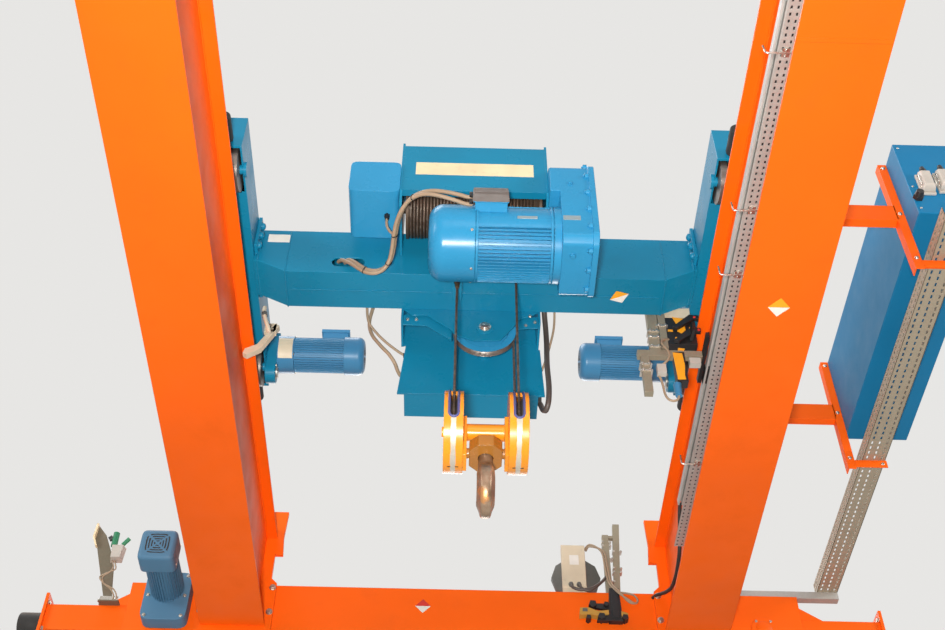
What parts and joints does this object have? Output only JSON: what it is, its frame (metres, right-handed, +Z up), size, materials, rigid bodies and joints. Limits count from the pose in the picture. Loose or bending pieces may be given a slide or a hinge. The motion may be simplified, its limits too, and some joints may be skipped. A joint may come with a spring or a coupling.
{
  "type": "overhead bridge crane",
  "caption": "Double girder overhead bridge crane: a crab runs on rails on top of the box girders and carries a wire rope hoist with motor, drum, hook block and swivelling hook.",
  "frame": {"origin": "centre of the plane in which the four runway wheels touch their rails", "axes": "+X to the side of the control cabinet, along the runway; +Y along the girders to the end near which the crab stands at rest; +Z up"},
  "size_m": [4.37, 10.25, 1.71],
  "materials": {
    "orange": "semi-gloss paint",
    "crab_blue": "semi-gloss paint",
    "hoist_blue": "gloss paint",
    "motor_blue": "semi-gloss paint",
    "block_yellow": "gloss paint",
    "rail_steel": "worn bare steel",
    "wheel_steel": "machined cast steel",
    "drum_steel": "greased steel",
    "hook_steel": "forged, worn",
    "galvanised": "dull zinc",
    "brass": "dull",
    "rope": "greased wire",
    "rubber": "matt",
    "cabinet_blue": "semi-gloss paint",
    "dark_plastic": "ribbed",
    "grey_plastic": "matt",
    "cable": "matt"
  },
  "bodies": {
    "bridge": {"left_girder": "orange", "right_girder": "orange", "girder_end_plates": "orange", "crab_rails": "rail_steel", "far_end_carriage": "orange", "near_end_carriage": "orange", "runway_wheels": "wheel_steel", "end_buffers": "rubber", "travel_gearboxes": "motor_blue", "travel_motors": "motor_blue", "control_cabinet": "cabinet_blue", "cabinet_brackets": "orange", "cabinet_connectors": "grey_plastic", "cable_tray": "galvanised", "tray_channel": "galvanised", "conductor_rail": "grey_plastic", "conductor_strip": "galvanised", "supply_post": "galvanised", "junction_box": "grey_plastic", "photocell_bracket": "galvanised"},
    "crab": {"left_crab_frame": "crab_blue", "right_crab_frame": "crab_blue", "crab_axles": "crab_blue", "crab_buffers": "rubber", "crossbeam": "crab_blue", "crab_drive_gearboxes": "crab_blue", "crab_drive_motors": "motor_blue", "hoist_frame": "crab_blue", "hoist_cover": "crab_blue", "hoist_gearbox": "hoist_blue", "hoist_motor": "hoist_blue", "motor_fan_cover": "hoist_blue", "motor_terminal_box": "dark_plastic", "hoist_switch_box": "hoist_blue", "rope_anchor": "brass", "sheave_hangers": "crab_blue", "sheave_back_plate": "crab_blue", "rope_guards": "crab_blue", "crab_electric_box": "crab_blue", "collector_bars": "galvanised", "rope_falls": "rope", "rope_lead": "rope", "motor_cable_front": "cable", "motor_cable_back": "cable"},
    "crab_wheel_far_left": {"crab_wheel_far_left": "wheel_steel", "far_left_wheel_flanges": "wheel_steel"},
    "crab_wheel_far_right": {"crab_wheel_far_right": "wheel_steel", "far_right_wheel_flanges": "wheel_steel"},
    "crab_wheel_near_left": {"crab_wheel_near_left": "wheel_steel", "near_left_wheel_flanges": "wheel_steel"},
    "crab_wheel_near_right": {"crab_wheel_near_right": "wheel_steel", "near_right_wheel_flanges": "wheel_steel"},
    "rope_drum": {"rope_drum": "drum_steel"},
    "upper_sheave": {"upper_sheave": "wheel_steel"},
    "hook_block": {"block_guards": "block_yellow", "block_side_plates": "block_yellow"},
    "block_sheave_left": {"block_sheave_left": "wheel_steel"},
    "block_sheave_right": {"block_sheave_right": "wheel_steel"},
    "crosshead": {"crosshead": "block_yellow"},
    "hook": {"hook": "hook_steel"}
  },
  "joints": [
    {"name": "crab_travel", "type": "slide", "parent": "bridge", "child": "crab", "axis": [0, 1, 0], "range_m": [-7.25, 0.85]},
    {"name": "hoist", "type": "slide", "parent": "crab", "child": "hook_block", "axis": [0, 0, 1], "range_m": [-4.3, 0.35], "deforming": ["rope_falls"]},
    {"name": "crab_wheel_far_left_spin", "type": "hinge", "parent": "crab", "child": "crab_wheel_far_left", "pos_m": [-1.02, 3.76, 0.7623], "axis": [1, 0, 0], "range_deg": [-620, 5210]},
    {"name": "crab_wheel_near_left_spin", "type": "hinge", "parent": "crab", "child": "crab_wheel_near_left", "pos_m": [-1.02, 2.64, 0.7623], "axis": [1, 0, 0], "range_deg": [-620, 5210]},
    {"name": "crab_wheel_far_right_spin", "type": "hinge", "parent": "crab", "child": "crab_wheel_far_right", "pos_m": [1.02, 3.76, 0.7623], "axis": [1, 0, 0], "range_deg": [-620, 5210]},
    {"name": "crab_wheel_near_right_spin", "type": "hinge", "parent": "crab", "child": "crab_wheel_near_right", "pos_m": [1.02, 2.64, 0.7623], "axis": [1, 0, 0], "range_deg": [-620, 5210]},
    {"name": "rope_drum_spin", "type": "hinge", "parent": "crab", "child": "rope_drum", "pos_m": [0.045, 2.949, 0.935], "axis": [1, 0, 0], "range_deg": [-7900, 660]},
    {"name": "upper_sheave_spin", "type": "hinge", "parent": "crab", "child": "upper_sheave", "pos_m": [0.045, 3.32, 0.56], "axis": [0, 1, 0], "range_deg": [-4020, 340]},
    {"name": "block_sheave_left_spin", "type": "hinge", "parent": "hook_block", "child": "block_sheave_left", "pos_m": [-0.078, 3.197, -0.132], "axis": [1, 0, 0], "range_deg": [-2020, 180]},
    {"name": "block_sheave_right_spin", "type": "hinge", "parent": "hook_block", "child": "block_sheave_right", "pos_m": [0.168, 3.197, -0.132], "axis": [1, 0, 0], "range_deg": [-500, 6020]},
    {"name": "crosshead_tilt", "type": "hinge", "parent": "hook_block", "child": "crosshead", "pos_m": [0.045, 3.197, -0.238], "axis": [1, 0, 0], "range_deg": [-15, 15]},
    {"name": "hook_swivel", "type": "hinge", "parent": "crosshead", "child": "hook", "pos_m": [0.045, 3.197, -0.238], "axis": [0, 0, 1], "continuous": true}
  ],
  "couplings": [
    {"joint": "crab_wheel_far_left_spin", "follows": "crab_travel", "rad_per_m": -12.5},
    {"joint": "crab_wheel_near_left_spin", "follows": "crab_travel", "rad_per_m": -12.5},
    {"joint": "crab_wheel_far_right_spin", "follows": "crab_travel", "rad_per_m": -12.5},
    {"joint": "crab_wheel_near_right_spin", "follows": "crab_travel", "rad_per_m": -12.5},
    {"joint": "rope_drum_spin", "follows": "hoist", "rad_per_m": 32},
    {"joint": "upper_sheave_spin", "follows": "hoist", "rad_per_m": 16.26},
    {"joint": "block_sheave_left_spin", "follows": "hoist", "rad_per_m": 8.1301},
    {"joint": "block_sheave_right_spin", "follows": "hoist", "rad_per_m": -24.39}
  ]
}
